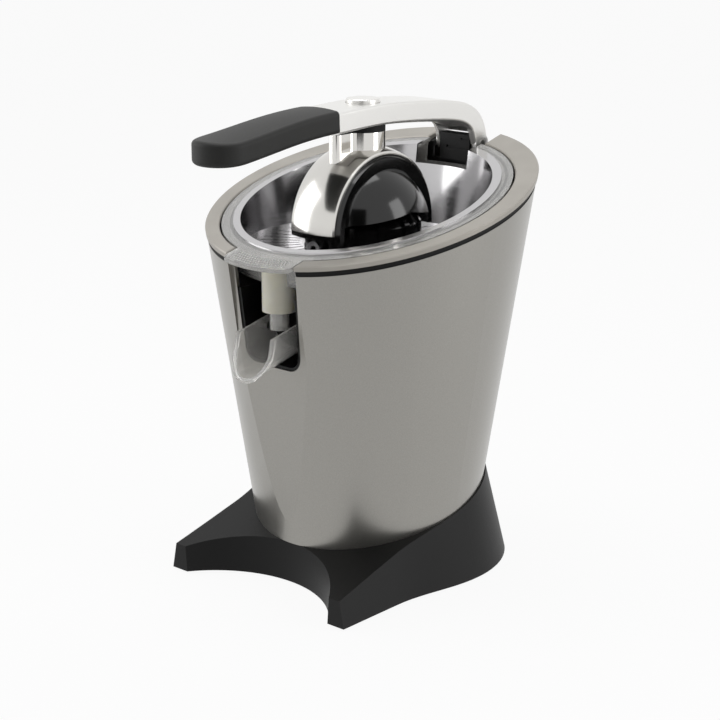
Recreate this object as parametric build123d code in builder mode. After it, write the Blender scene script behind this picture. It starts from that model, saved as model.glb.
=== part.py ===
"""Lever citrus press: leaning-rim body on a two-pronged stand, clear juice tray, steel
strainer bowl, motor-driven reamer, hinged press dome and a tilting drip-stop spout.

Millimetres. +Z up, X to the right, the spout and the handle point to -Y.
The origin lies on the body's axis, on the underside of the base plate.
"""
import os
from math import cos, pi, radians, sin, sqrt, tan

from build123d import *

os.makedirs("parts", exist_ok=True)

# ------------------------------------------------------------------ driving dimensions
tilt = 15.0             # lean of the body's foot and rim planes, low at the front
bowl_r = 79.4           # radius of the strainer bowl at its floor, which the round pieces follow outwards
tray_space = 8.6        # from there to the outside of the tray's floor
ledge_space = 6.0       # from there to the tray's ledge, which carries the bowl
rim_space = 16.6        # from there to the outside of the tray's rim
tray_play = 1.2         # gap between the tray's rim and the well
well_r = bowl_r + rim_space + tray_play     # inner radius of the well that holds the tray
body_r0 = well_r - 25.5          # radius at which the body's cone would meet the floor
body_flare = 0.15       # growth of that radius for each mm of height
body_wall = 2.5         # sheet and backing of the body shell
body_foot_z = 47.5      # height of the shell's lower edge on the axis
rim_z = 251.0           # height of the collar's top face on the axis
collar_t = 3.5          # thickness of the collar ring, measured upright
collar_lip = 0.6        # how far the collar stands out from the shell
gasket_t = 3.7          # black joint between the collar and the shell
gasket_recess = 0.4     # how far that joint lies behind the shell
facet_y0 = body_r0 + 1.8         # distance of the flat front panel from the axis, at floor level
facet_lean = 0.109      # growth of that distance for each mm of height
facet_half = 29.5       # half width of the front panel
notch_half_top = 27.5   # half width of the spout notch at the rim
notch_half_low = 24.3   # half width of the spout notch near its bottom
notch_low_z = 151.5     # bottom of the notch
notch_top_z = 235.0     # level at which notch_half_top is measured
notch_corner = 11.0     # radius of the notch's bottom corners
slot_half = 21.0        # half width of the slot that the lever's tail swings in
slot_low_z = 262.0      # bottom of that slot
collar_gap_front = 29.5 # half width of the collar's gap over the spout
collar_gap_rear = 25.0  # half width of the collar's gap at the lever

base_front_y = 110.4    # distance of the prongs' tips in front of the axis
base_foot_half = body_r0 + 6.3   # half width over the prongs at the floor
base_foot_waist = body_r0 + 6.8  # half width where the straight sides end, at the floor
base_foot_r = body_r0 + 17.3      # radius of the rear skirt at the floor
base_foot_cy = 12.0     # centre of that skirt behind the axis
base_top_half = body_r0 - 9.1    # the same four at the height base_loft_h
base_top_waist = body_r0 - 5.2
base_top_r = body_r0 + 3.3
base_top_cy = 6.2
base_waist_y = 60.0     # distance in front of the axis where the straight sides end
base_loft_h = 75.0      # height between the two outlines of the stand
base_wall = 3.0         # moulded wall of the stand
bay_r = 77.8            # radius of the glass bay between the prongs
bay_cy = 154.4          # its centre in front of the axis
bay_draft = 0.06        # growth of the bay's radius for each mm of height
plate_t = 3.0           # base plate
plate_gap = 0.3         # moulding gap round the base plate
foot_r = 6.0            # rubber feet
foot_proud = 1.5        # how far the feet stand below the base plate
foot_sink = 1.2         # depth of their pockets in the plate

press_y = -4.0          # the vertical axis of reamer, shaft and dome lies this far from the body's
well_wall = 1.4
deck_z = 198.0          # underside of the deck
deck_t = 3.0
tray_r = bowl_r + tray_space           # outer radius of the tray at its floor
tray_flare = 0.085      # growth of that radius for each mm of height
tray_wall = 2.0
tray_z = 205.5          # underside of the tray's floor
tray_rim_r = bowl_r + rim_space       # outer radius of the tray's rim
tray_rim_t = 2.6
tray_ledge_r = bowl_r + ledge_space     # inner edge of the rim, which carries the bowl
lip_r = tray_rim_r + 13.5           # radius of the thumb lip's front edge
lip_half = 28.5
bowl_floor_z = 218.8    # underside of the strainer's floor
bowl_flare = 0.14
bowl_sheet = 1.0
bowl_rim = 3.0          # width of the rolled rim
rear_cut_half = 22.5    # half width of the notch in tray and bowl for the lever's tail
rear_cut_z = 260.0

dome_z = 232.0          # centre of the dome's sphere
dome_r = 52.8           # outer radius of the metal cover
dome_sheet = 2.2
dome_half = 18.7        # half width of the metal cover, a band from front to back
rib_half = 21.3         # half width of the black rib under it
cup_r = 44.0            # outer radius of the press cup
cup_wall = 2.4
cup_low_z = 229.0       # lower edge of the rib
neck_r = 14.8
neck_top_z = 294.0

pin_y = well_r + 3.3           # lever hinge
pin_z = 274.5
pin_r = 2.5
tail_r = 6.8            # rounded ends of the lever's skirts
boss_r = 6.2            # boss of the hinge tower
arm_half = 17.6
skirt = 4.1             # thickness of the lever's two skirts
arm_t = 13.0            # thickness of the lever at its edges
arm_crown = 2.6         # rise of its top in the middle
grip_joint_y = -46.0    # where the metal arm ends and the grip begins
grip_joint_half = 17.8
grip_half = 19.6         # half width where the hand holds it
grip_t = 12.8            # thickness of its edges, before the crown
grip_end_y = -149.4
grip_round = 3.0
tower_half = 13.0
tower_front_y = pin_y - 8.5    # front face of the hinge tower
button_r = 11.2
button_top_z = 314.9
button_h = 8.0
button_travel = 2.5

spout_pivot_y = -80.0   # pivots of the drip-stop spout
spout_pivot_z = 175.0
spout_pin_r = 2.2
spout_half = 15.5       # half width of the spout's gutter
spout_wall = 1.8

shaft_r = 5.0           # drive shaft
carriage_r = 11.0       # bearing carriage that lets the shaft give way under the hand
carriage_low_z = 186.0
carriage_top_z = 197.6
finger_w = 5.0          # finger of the carriage that works the switch
finger_top_z = 189.0
finger_x = 25.0
plug_t = 3.0            # spring seat in the hub

running = 0.05          # radial clearance of a turning fit
seat_gap = 0.3          # clearance between a piece and the seat it rests on
fixed_gap = 0.02        # radial clearance of a pressed or glued fit

gear_module = 1.25
pinion_teeth = 14
idler_teeth = 42
output_teeth = 56
press_travel = 2.0      # the reamer gives this much under the hand, and the switch closes

# ------------------------------------------------------------------ derived heights and planes
shell_top_z = rim_z - collar_t - gasket_t
gasket_top_z = rim_z - collar_t
deck_top_z = deck_z + deck_t
tray_rim_z = rim_z - 0.4
press_axis = Axis((0, press_y, 0), (0, 0, 1))
far = 330.0             # beyond the whole machine


def slant(height):
    """Plane that leans like the body's rim and crosses the axis at this height."""
    lean = radians(tilt)
    return Plane(origin=(0, 0, height), x_dir=(1, 0, 0), z_dir=(0, -sin(lean), cos(lean)))


def body_r(height):
    return body_r0 + body_flare * height


def write(piece, name):
    piece.part.label = name
    export_step(piece.part, f"parts/{name}.step")


def half_section(points, y=0.0):
    """Closed half section in the XZ plane through y, for a revolve about a vertical axis."""
    with BuildSketch(Plane.XZ.offset(-y)) as half:
        with BuildLine():
            Polyline(*points, close=True)
        make_face()
    return half.sketch


def body_section(grow, low, high):
    """Half section of the body's cone, its surface moved out by grow."""
    return half_section([(0, low), (body_r(low) + grow, low), (body_r(high) + grow, high), (0, high)])


def side_face(points):
    """Closed polygon in the YZ plane."""
    with BuildSketch(Plane.YZ) as face:
        with BuildLine():
            Polyline(*points, close=True)
        make_face()
    return face.sketch


def facet_y(height, back=0.0):
    """Y of the flat front panel at a height, moved inwards by back."""
    return -(facet_y0 + facet_lean * height) + back


def front_slab(back):
    """Side view of everything in front of the front panel moved inwards by back."""
    return side_face([(-far, 0), (facet_y(0, back), 0), (facet_y(far, back), far), (-far, far)])


def notch_outline(inset):
    """Spout notch seen from the front, open at the top, its outline moved inwards by inset."""
    lean = (notch_half_top - notch_half_low) / (notch_top_z - notch_low_z)
    low = notch_low_z + inset
    top_half = notch_half_low + lean * (far - notch_low_z) - inset
    with BuildSketch(Plane.XZ) as outline:
        with BuildLine():
            Polyline((-notch_half_low + inset, low), (notch_half_low - inset, low),
                     (top_half, far), (-top_half, far), close=True)
        make_face()
        fillet(outline.vertices().group_by(Axis.Z)[0], notch_corner - inset)
    return outline.sketch


# ------------------------------------------------------------------ stand
def stand_outline(height, inset):
    """Plan of the stand without its bay: prongs in front, round skirt behind."""
    share = height / base_loft_h
    front = base_foot_half + share * (base_top_half - base_foot_half) - inset
    waist = base_foot_waist + share * (base_top_waist - base_foot_waist) - inset
    rear_r = base_foot_r + share * (base_top_r - base_foot_r) - inset
    rear_cy = base_foot_cy + share * (base_top_cy - base_foot_cy)
    tip = -base_front_y + inset
    with BuildSketch(Plane.XY.offset(height)) as plan:
        with BuildLine():
            Line((-front, tip), (front, tip))
            Line((front, tip), (waist, -base_waist_y))
            Spline((waist, -base_waist_y), (rear_r, rear_cy), tangents=[(0, 1), (0, 1)])
            ThreePointArc((rear_r, rear_cy), (0, rear_cy + rear_r), (-rear_r, rear_cy))
            Spline((-rear_r, rear_cy), (-waist, -base_waist_y), tangents=[(0, -1), (0, -1)])
            Line((-waist, -base_waist_y), (-front, tip))
        make_face()
    return plan.sketch


def bay_section(grow):
    """Half section of the glass bay, a slightly opening cone, for a revolve about its own axis."""
    return half_section([(0, -10), (bay_r + grow - 10 * bay_draft, -10),
                         (bay_r + grow + base_loft_h * bay_draft, base_loft_h), (0, base_loft_h)],
                        -bay_cy)


bay_axis = Axis((0, -bay_cy, 0), (0, 0, 1))
inlet_z = 16.0          # cord inlet in the rear skirt
inlet_r = 7.0
foot_spots = [(68.3, -98.5), (-68.3, -98.5), (55, 58), (-55, 58)]
post_spots = [(52, -28), (-52, -28), (34, 40), (-34, 40)]
base_screw_r = 2.0

with BuildPart() as base_cavity:
    loft(sections=[stand_outline(0, base_wall), stand_outline(base_loft_h, base_wall)], ruled=True)
    revolve(bay_section(base_wall), axis=bay_axis, mode=Mode.SUBTRACT)
    split(bisect_by=slant(body_foot_z - base_wall), keep=Keep.BOTTOM)

with BuildPart() as base_stand:
    loft(sections=[stand_outline(0, 0), stand_outline(base_loft_h, 0)], ruled=True)
    revolve(bay_section(0), axis=bay_axis, mode=Mode.SUBTRACT)
    split(bisect_by=slant(body_foot_z), keep=Keep.BOTTOM)
    add(base_cavity.part, mode=Mode.SUBTRACT)
    with BuildSketch(Plane.XY.offset(plate_t)):
        with Locations(post_spots):
            Circle(6)
    extrude(amount=60)
    split(bisect_by=slant(body_foot_z), keep=Keep.BOTTOM)
    with Locations([(x, y, plate_t) for x, y in post_spots]):
        Cylinder(base_screw_r, 40, mode=Mode.SUBTRACT)
    with BuildSketch(Plane.XZ.offset(-80)):
        with Locations((0, inlet_z)):
            Circle(inlet_r + fixed_gap)
    extrude(amount=-30, mode=Mode.SUBTRACT)
write(base_stand, "base_stand")

plate_inset = base_wall + plate_gap
with BuildPart() as base_plate:
    loft(sections=[stand_outline(0, plate_inset), stand_outline(plate_t, plate_inset)], ruled=True)
    revolve(bay_section(plate_inset), axis=bay_axis, mode=Mode.SUBTRACT)
    with BuildSketch():
        with Locations(foot_spots):
            Circle(foot_r + fixed_gap)
    extrude(amount=foot_sink, mode=Mode.SUBTRACT)
    with Locations([(x, y, 0) for x, y in post_spots]):
        Cylinder(base_screw_r + running, 3 * plate_t, mode=Mode.SUBTRACT)
    with BuildSketch():
        with Locations(post_spots):
            Circle(2 * base_screw_r)
    extrude(amount=plate_t / 2, mode=Mode.SUBTRACT)
write(base_plate, "base_plate")

with BuildPart() as rubber_feet:
    with BuildSketch(Plane.XY.offset(-foot_proud)):
        with Locations(foot_spots):
            Circle(foot_r)
    extrude(amount=foot_proud + foot_sink)
    chamfer(rubber_feet.faces().group_by(Axis.Z)[0].edges(), 0.6)
write(rubber_feet, "rubber_feet")

with BuildPart() as base_screws:
    with BuildSketch(Plane.XY.offset(0.2)):
        with Locations(post_spots):
            Circle(2 * base_screw_r - 0.2)
    extrude(amount=plate_t / 2 - 0.2)
    with BuildSketch(Plane.XY.offset(0.2)):
        with Locations(post_spots):
            Circle(base_screw_r - fixed_gap)
    extrude(amount=18)
    with BuildSketch(Plane.XY.offset(0.2)):
        with Locations(post_spots):
            Rectangle(3, 0.7)
            Rectangle(0.7, 3)
    extrude(amount=0.8, mode=Mode.SUBTRACT)
write(base_screws, "base_screws")

with BuildPart() as cord_inlet:
    with BuildSketch(Plane.XZ.offset(-91)):
        with Locations((0, inlet_z)):
            Circle(inlet_r)
    extrude(amount=-9.5)
    with BuildSketch(Plane.XZ.offset(-97.8)):
        with Locations((0, inlet_z)):
            Circle(inlet_r + 2.2)
    extrude(amount=-2.7)
    with BuildSketch(Plane.XZ.offset(-90)):
        with Locations((0, inlet_z)):
            Circle(3.6)
    extrude(amount=-12, mode=Mode.SUBTRACT)
    add(base_stand.part, mode=Mode.SUBTRACT)
write(cord_inlet, "cord_inlet")

# ------------------------------------------------------------------ body shell, joint and collar
with BuildPart() as shell_cavity:
    revolve(body_section(-body_wall, 0, far), axis=Axis.Z)
    extrude(front_slab(body_wall), amount=facet_half + body_wall, both=True, mode=Mode.SUBTRACT)

with BuildPart() as body_shell:
    revolve(body_section(0, 0, far), axis=Axis.Z)
    split(bisect_by=slant(body_foot_z), keep=Keep.TOP)
    split(bisect_by=slant(shell_top_z), keep=Keep.BOTTOM)
    extrude(front_slab(0), amount=facet_half, both=True, mode=Mode.SUBTRACT)
    add(shell_cavity.part, mode=Mode.SUBTRACT)
    extrude(notch_outline(0), amount=far, mode=Mode.SUBTRACT)
    with BuildSketch(Plane.XZ):
        with Locations((0, (slot_low_z + far) / 2)):
            Rectangle(2 * slot_half, far - slot_low_z)
    extrude(amount=-far, mode=Mode.SUBTRACT)
write(body_shell, "body_shell")


def ring_gaps(front_half, rear_half):
    """Plan of the two gaps in the rings on top of the body: spout in front, lever behind."""
    with BuildSketch(Plane.XY) as gaps:
        with Locations((0, -far / 2)):
            Rectangle(2 * front_half, far)
        with Locations((0, far / 2)):
            Rectangle(2 * rear_half, far)
    return gaps.sketch


def rim_ring(ring, grow, inner_r, low, high, gaps):
    """Ring between two leaning planes that follows the body's cone outside."""
    with ring:
        revolve(body_section(grow, 0, far), axis=Axis.Z)
        with BuildSketch(Plane.XY) as opening:
            Circle(inner_r)
        extrude(opening.sketch, amount=far, mode=Mode.SUBTRACT)
        split(bisect_by=slant(low), keep=Keep.TOP)
        split(bisect_by=slant(high), keep=Keep.BOTTOM)
        extrude(gaps, amount=far, mode=Mode.SUBTRACT)


def break_top_edges(ring, length):
    """Chamfer every edge of a ring's leaning top face."""
    up = Axis((0, 0, 0), slant(0).z_dir)
    with ring:
        chamfer(ring.faces().group_by(up)[-1].edges(), length)


shell_gasket = BuildPart()
rim_ring(shell_gasket, -gasket_recess, well_r, shell_top_z, gasket_top_z,
         ring_gaps(collar_gap_front, slot_half))
write(shell_gasket, "shell_gasket")

top_collar = BuildPart()
rim_ring(top_collar, collar_lip, well_r, gasket_top_z, rim_z,
         ring_gaps(collar_gap_front, collar_gap_rear))
break_top_edges(top_collar, 0.7)
write(top_collar, "top_collar")

# ------------------------------------------------------------------ inner chassis: well, deck, alcove
hub_r = 14.0
hub_low_z = 166.0
seal_r = 9.0
seal_t = 2.4
alcove_back_y = -60.0
alcove_wall = 2.0
rest_ring_r = 58.0
gearbox_cy = 12.0       # centre of the gearbox behind the axis
gearbox_r = 60.0
gearbox_post_r = 52.0   # circle of the four posts that carry the gearbox
gearbox_screw_r = 2.0
gearbox_top_z = 164.0
post_polar = [20, 160, 225, 315]
gear_posts = [(gearbox_post_r * cos(radians(a)), gearbox_cy + gearbox_post_r * sin(radians(a)))
              for a in post_polar]

with BuildPart() as alcove_block:
    extrude(notch_outline(seat_gap), amount=far)
    extrude(front_slab(0.8), amount=facet_half, both=True, mode=Mode.SUBTRACT)
    split(bisect_by=Plane.XZ.offset(-alcove_back_y), keep=Keep.TOP)
    split(bisect_by=Plane.XY.offset(deck_top_z), keep=Keep.BOTTOM)

with BuildPart() as inner_chassis:
    with BuildSketch(Plane.XY.offset(deck_z)):
        Circle(well_r + well_wall)
    extrude(amount=far - deck_z)
    with BuildSketch(Plane.XY.offset(deck_top_z)):
        Circle(well_r)
    extrude(amount=far - deck_top_z, mode=Mode.SUBTRACT)
    split(bisect_by=slant(shell_top_z), keep=Keep.BOTTOM)
    with BuildSketch(Plane.XY.offset(deck_top_z)):
        Circle(rest_ring_r + 2)
        Circle(rest_ring_r, mode=Mode.SUBTRACT)
    extrude(amount=tray_z - seat_gap - deck_top_z)
    with BuildSketch(Plane.XY.offset(hub_low_z)):
        with Locations((0, press_y)):
            Circle(hub_r)
    extrude(amount=deck_z - hub_low_z)
    with BuildSketch(Plane.XY.offset(gearbox_top_z + seat_gap)):
        with Locations(gear_posts):
            Circle(5)
    extrude(amount=deck_z - gearbox_top_z - seat_gap)
    with BuildSketch(Plane.XY.offset(hub_low_z - 1)):
        with Locations((0, press_y)):
            Circle(carriage_r + 2 * running)
    extrude(amount=deck_z - hub_low_z + 1, mode=Mode.SUBTRACT)
    with BuildSketch(Plane.XY.offset(deck_z - 1)):
        with Locations((0, press_y)):
            Circle(shaft_r + 0.6)
    extrude(amount=deck_t + 2, mode=Mode.SUBTRACT)
    with BuildSketch(Plane.XY.offset(deck_top_z - seal_t)):
        with Locations((0, press_y)):
            Circle(seal_r)
    extrude(amount=seal_t, mode=Mode.SUBTRACT)
    with BuildSketch(Plane.XY.offset(gearbox_top_z)):
        with Locations(gear_posts):
            Circle(gearbox_screw_r)
    extrude(amount=18, mode=Mode.SUBTRACT)
    # the alcove behind the spout, closed below and behind
    extrude(front_slab(body_wall + seat_gap), amount=facet_half + 4, both=True, mode=Mode.SUBTRACT)
    add(alcove_block.part)
    extrude(notch_outline(seat_gap + alcove_wall).moved(Pos(0, alcove_back_y - alcove_wall, 0)),
            amount=far, mode=Mode.SUBTRACT)
    with BuildSketch(Plane.XZ):
        with Locations((0, (slot_low_z + far) / 2)):
            Rectangle(2 * slot_half, far - slot_low_z)
    extrude(amount=-far, mode=Mode.SUBTRACT)
    # slot for the carriage's switch finger, bores for the spout's pivots
    with BuildSketch(Plane.XY.offset(hub_low_z - 1)):
        with Locations((hub_r, press_y)):
            Rectangle(2 * (hub_r - carriage_r + 2), finger_w + 1)
    extrude(amount=finger_top_z + seat_gap - hub_low_z + 1, mode=Mode.SUBTRACT)
    with BuildSketch(Plane.YZ.offset(-notch_half_top)):
        with Locations((spout_pivot_y, spout_pivot_z)):
            Circle(spout_pin_r + fixed_gap)
    extrude(amount=2 * notch_half_top, mode=Mode.SUBTRACT)
write(inner_chassis, "inner_chassis")

with BuildPart() as hub_plug:
    with BuildSketch(Plane.XY.offset(hub_low_z)):
        with Locations((0, press_y)):
            Circle(carriage_r + running)
            Circle(carriage_r - 4, mode=Mode.SUBTRACT)
    extrude(amount=plug_t)
write(hub_plug, "hub_plug")

with BuildPart() as shaft_seal:
    with BuildSketch(Plane.XY.offset(deck_top_z - seal_t + 0.1)):
        with Locations((0, press_y)):
            Circle(seal_r - fixed_gap)
            Circle(shaft_r + running, mode=Mode.SUBTRACT)
    extrude(amount=seal_t)
write(shaft_seal, "shaft_seal")

# ------------------------------------------------------------------ juice tray, outlet and nozzle
duct_y = -84.0
duct_r = 11.0
duct_wall = 1.8
duct_low_z = 188.0
duct_top_z = 216.0
nozzle_r = 6.3
nozzle_wall = 1.4
nozzle_low_z = 176.0
chimney_r = 9.0
chimney_top_z = 228.0


def tray_section(grow, low, high):
    return half_section([(0, low), (tray_r + grow + tray_flare * (low - tray_z), low),
                         (tray_r + grow + tray_flare * (high - tray_z), high), (0, high)])


with BuildPart() as tray_inside:
    revolve(tray_section(-tray_wall, tray_z + tray_wall, far), axis=Axis.Z)
    with BuildSketch(Plane.XY.offset(tray_z)):
        with Locations((0, press_y)):
            Circle(chimney_r)
    extrude(amount=chimney_top_z - tray_z, mode=Mode.SUBTRACT)

with BuildPart() as rim_front_lip:
    with BuildSketch():
        with Locations((0, -lip_r / 2)):
            Rectangle(2 * lip_half, lip_r)
        Circle(lip_r, mode=Mode.INTERSECT)
    extrude(amount=far)
    fillet(rim_front_lip.edges().filter_by(Axis.Z).group_by(Axis.Y)[0], 5)

with BuildPart() as tray_body:
    revolve(tray_section(0, tray_z, far), axis=Axis.Z)
    split(bisect_by=slant(tray_rim_z - 0.2), keep=Keep.BOTTOM)

with BuildPart() as juice_tray:
    with BuildSketch():
        Circle(tray_rim_r)
        Circle(tray_ledge_r, mode=Mode.SUBTRACT)
    extrude(amount=far)
    add(rim_front_lip.part)
    with BuildSketch():
        Circle(tray_ledge_r)
    extrude(amount=far, mode=Mode.SUBTRACT)
    split(bisect_by=slant(tray_rim_z - tray_rim_t), keep=Keep.TOP)
    split(bisect_by=slant(tray_rim_z), keep=Keep.BOTTOM)
    add(tray_body.part - tray_inside.part)
    with BuildSketch(Plane.XY.offset(tray_z - 1)):
        with Locations((0, press_y)):
            Circle(chimney_r - 2)
    extrude(amount=chimney_top_z, mode=Mode.SUBTRACT)
    with BuildSketch(Plane.XY.offset(tray_z - 1)):
        with Locations((0, duct_y)):
            Circle(duct_r + fixed_gap)
    extrude(amount=duct_top_z - tray_z + 1, mode=Mode.SUBTRACT)
    with BuildSketch(Plane.XZ):
        with Locations((0, (rear_cut_z + far) / 2)):
            Rectangle(2 * rear_cut_half, far - rear_cut_z)
    extrude(amount=-far, mode=Mode.SUBTRACT)
write(juice_tray, "juice_tray")

with BuildPart() as juice_outlet:
    with BuildSketch(Plane.XY.offset(duct_low_z)):
        with Locations((0, duct_y)):
            Circle(duct_r)
    extrude(amount=duct_top_z - fixed_gap - duct_low_z)
    with BuildSketch(Plane.XY.offset(duct_low_z)):
        with Locations((0, duct_y)):
            Circle(duct_r - duct_wall)
    extrude(amount=duct_top_z - duct_wall - duct_low_z, mode=Mode.SUBTRACT)
    add(tray_inside.part, mode=Mode.SUBTRACT)
write(juice_outlet, "juice_outlet")

with BuildPart() as outlet_nozzle:
    with BuildSketch(Plane.XY.offset(duct_low_z + 0.2)):
        with Locations((0, duct_y)):
            Circle(duct_r - duct_wall - fixed_gap)
    extrude(amount=2)
    with BuildSketch(Plane.XY.offset(nozzle_low_z)):
        with Locations((0, duct_y)):
            Circle(nozzle_r)
    extrude(amount=duct_low_z + 0.2 - nozzle_low_z)
    with BuildSketch(Plane.XY.offset(nozzle_low_z)):
        with Locations((0, duct_y)):
            Circle(nozzle_r - nozzle_wall)
    extrude(amount=duct_low_z + 3 - nozzle_low_z, mode=Mode.SUBTRACT)
write(outlet_nozzle, "outlet_nozzle")

# ------------------------------------------------------------------ drip-stop spout, tilts up about X
gutter_fall = 13.0      # slope of the gutter at rest
gutter_rear = -75.0     # the gutter before it is sloped: rear edge,
gutter_front = -106.0   # front end of its upright sides
gutter_lip = -122.0     # and the tip of its lip
gutter_rim_z = 181.5
gutter_low_z = 157.0
gutter_bead = 1.0       # thickening round the mouth


def gutter_outline(inset):
    """U-shaped section of the gutter, open at the top, in the XZ plane."""
    half = spout_half - inset
    low = gutter_low_z + inset
    with BuildSketch(Plane.XZ) as outline:
        with BuildLine():
            Line((-half, low + half), (-half, far))
            Line((-half, far), (half, far))
            Line((half, far), (half, low + half))
            ThreePointArc((half, low + half), (0, low), (-half, low + half))
        make_face()
    return outline.sketch


def gutter_side(back):
    """Side view of the gutter, its mouth curving forward to the lip and moved back by a distance."""
    with BuildSketch(Plane.YZ) as side:
        with BuildLine():
            Line((gutter_rear, gutter_low_z - 5), (gutter_rear, gutter_rim_z))
            Line((gutter_rear, gutter_rim_z), (gutter_front + back, gutter_rim_z))
            ThreePointArc((gutter_front + back, gutter_rim_z),
                          (0.72 * gutter_front + 0.28 * gutter_lip + back, 0.6 * gutter_rim_z + 0.4 * gutter_low_z),
                          (gutter_lip + back, gutter_low_z + 1))
            Line((gutter_lip + back, gutter_low_z + 1), (gutter_lip + back, gutter_low_z - 5))
            Line((gutter_lip + back, gutter_low_z - 5), (gutter_rear, gutter_low_z - 5))
        make_face()
    return side.sketch


with BuildPart() as gutter_mouth:
    extrude(gutter_outline(-gutter_bead), amount=far)
    extrude(gutter_side(0), amount=far, both=True, mode=Mode.INTERSECT)
    extrude(gutter_side(2.2), amount=far, both=True, mode=Mode.SUBTRACT)

with BuildPart() as drip_spout:
    extrude(gutter_outline(0), amount=far)
    extrude(gutter_side(0), amount=far, both=True, mode=Mode.INTERSECT)
    add(gutter_mouth.part)
    extrude(gutter_outline(spout_wall), amount=far, mode=Mode.SUBTRACT)
    with BuildSketch(Plane.YZ.offset(-spout_half)):
        with Locations((spout_pivot_y, spout_pivot_z)):
            Circle(spout_pin_r + 2.2)
    extrude(amount=spout_wall)
    with BuildSketch(Plane.YZ.offset(spout_half - spout_wall)):
        with Locations((spout_pivot_y, spout_pivot_z)):
            Circle(spout_pin_r + 2.2)
    extrude(amount=spout_wall)
    with BuildSketch(Plane.YZ.offset(-spout_half - 1)):
        with Locations((spout_pivot_y, spout_pivot_z)):
            Circle(spout_pin_r + running)
    extrude(amount=2 * spout_half + 2, mode=Mode.SUBTRACT)
drip_spout.part = drip_spout.part.rotate(Axis((0, spout_pivot_y, spout_pivot_z), (1, 0, 0)), gutter_fall)
write(drip_spout, "drip_spout")

pivot_in = spout_half - spout_wall + 0.3
pivot_out = notch_half_low + 0.5
with BuildPart() as spout_pivots:
    for side in (pivot_in, -pivot_out):
        with BuildSketch(Plane.YZ.offset(side)):
            with Locations((spout_pivot_y, spout_pivot_z)):
                Circle(spout_pin_r)
        extrude(amount=pivot_out - pivot_in)
write(spout_pivots, "spout_pivots")

# ------------------------------------------------------------------ strainer bowl


def bowl_section(grow, low, high):
    return half_section([(0, low), (bowl_r + grow + bowl_flare * (low - bowl_floor_z), low),
                         (bowl_r + grow + bowl_flare * (high - bowl_floor_z), high), (0, high)],
                        press_y)


slot_rows = [(31, 12.0, 24), (55, 26.0, 40)]      # radius, length and number of each ring of drain slots
slot_w = 1.6
bowl_hole_r = 12.0
tab_r = 46.5            # finger tabs that lift the strainer stand at this radius, in front and behind
tab_half = 5.5
tab_hole_r = 2.6
tab_t = 1.6
tab_top_z = 227.6

with BuildPart() as lift_tabs:
    with BuildSketch(Plane.XZ) as arch:
        with BuildLine():
            Line((-tab_half, bowl_floor_z), (tab_half, bowl_floor_z))
            Line((tab_half, bowl_floor_z), (tab_half, tab_top_z - tab_half))
            ThreePointArc((tab_half, tab_top_z - tab_half), (0, tab_top_z), (-tab_half, tab_top_z - tab_half))
            Line((-tab_half, tab_top_z - tab_half), (-tab_half, bowl_floor_z))
        make_face()
        with Locations((0, tab_top_z - tab_half)):
            Circle(tab_hole_r, mode=Mode.SUBTRACT)
    extrude(arch.sketch.moved(Pos(0, press_y - tab_r, 0)), amount=tab_t)
    extrude(arch.sketch.moved(Pos(0, press_y + tab_r + tab_t, 0)), amount=tab_t)

with BuildPart() as bowl_flange:
    with BuildSketch():
        Circle(tray_ledge_r + bowl_rim)
    extrude(amount=far)
    split(bisect_by=slant(tray_rim_z), keep=Keep.TOP)

with BuildPart() as strainer_bowl:
    revolve(bowl_section(0, bowl_floor_z, far), axis=press_axis)
    add(bowl_flange.part)
    split(bisect_by=slant(tray_rim_z + bowl_sheet), keep=Keep.BOTTOM)
    revolve(bowl_section(-bowl_sheet, bowl_floor_z + bowl_sheet, far), axis=press_axis,
            mode=Mode.SUBTRACT)
    with BuildSketch(Plane.XY.offset(bowl_floor_z)):
        with Locations((0, press_y)):
            Circle(bowl_hole_r + bowl_sheet)
    extrude(amount=6)
    with BuildSketch(Plane.XY.offset(bowl_floor_z - 1)):
        with Locations((0, press_y)):
            Circle(bowl_hole_r)
        for ring_r, slot_l, count in slot_rows:
            with Locations((0, press_y)):
                with PolarLocations(ring_r, count):
                    Rectangle(slot_l, slot_w)
    extrude(amount=8, mode=Mode.SUBTRACT)
    add(lift_tabs.part)
    with BuildSketch(Plane.XZ):
        with Locations((0, (rear_cut_z + far) / 2)):
            Rectangle(2 * rear_cut_half, far - rear_cut_z)
    extrude(amount=-far, mode=Mode.SUBTRACT)
write(strainer_bowl, "strainer_bowl")

# ------------------------------------------------------------------ drive shaft, reamer, carriage
reamer_low_z = 222.2
reamer_r = 39.4
reamer_skirt_z = 236.0
reamer_tip_z = 266.0
reamer_wall = 2.2
reamer_ribs = 12
hex_r = 4.6             # corner radius of the shaft's hexagonal ends
hex_play = 0.35
gear_low_z = 131.6
gear_mid_z = 143.6
gear_top_z = 157.0
hub_gear_top_z = 165.5


def reamer_profile(inset):
    """Half section of the reamer: upright skirt, then a cone that steepens to a blunt tip."""
    rise = reamer_tip_z - reamer_skirt_z
    return half_section([(0, reamer_low_z), (reamer_r - inset, reamer_low_z),
                         (reamer_r - inset - 0.6, reamer_skirt_z - inset),
                         (0.72 * reamer_r - inset, reamer_skirt_z + 0.42 * rise - inset),
                         (0.34 * reamer_r - inset / 2, reamer_skirt_z + 0.80 * rise - inset),
                         (0.08 * reamer_r, reamer_tip_z - 1 - inset), (0, reamer_tip_z - inset)], press_y)


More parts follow.
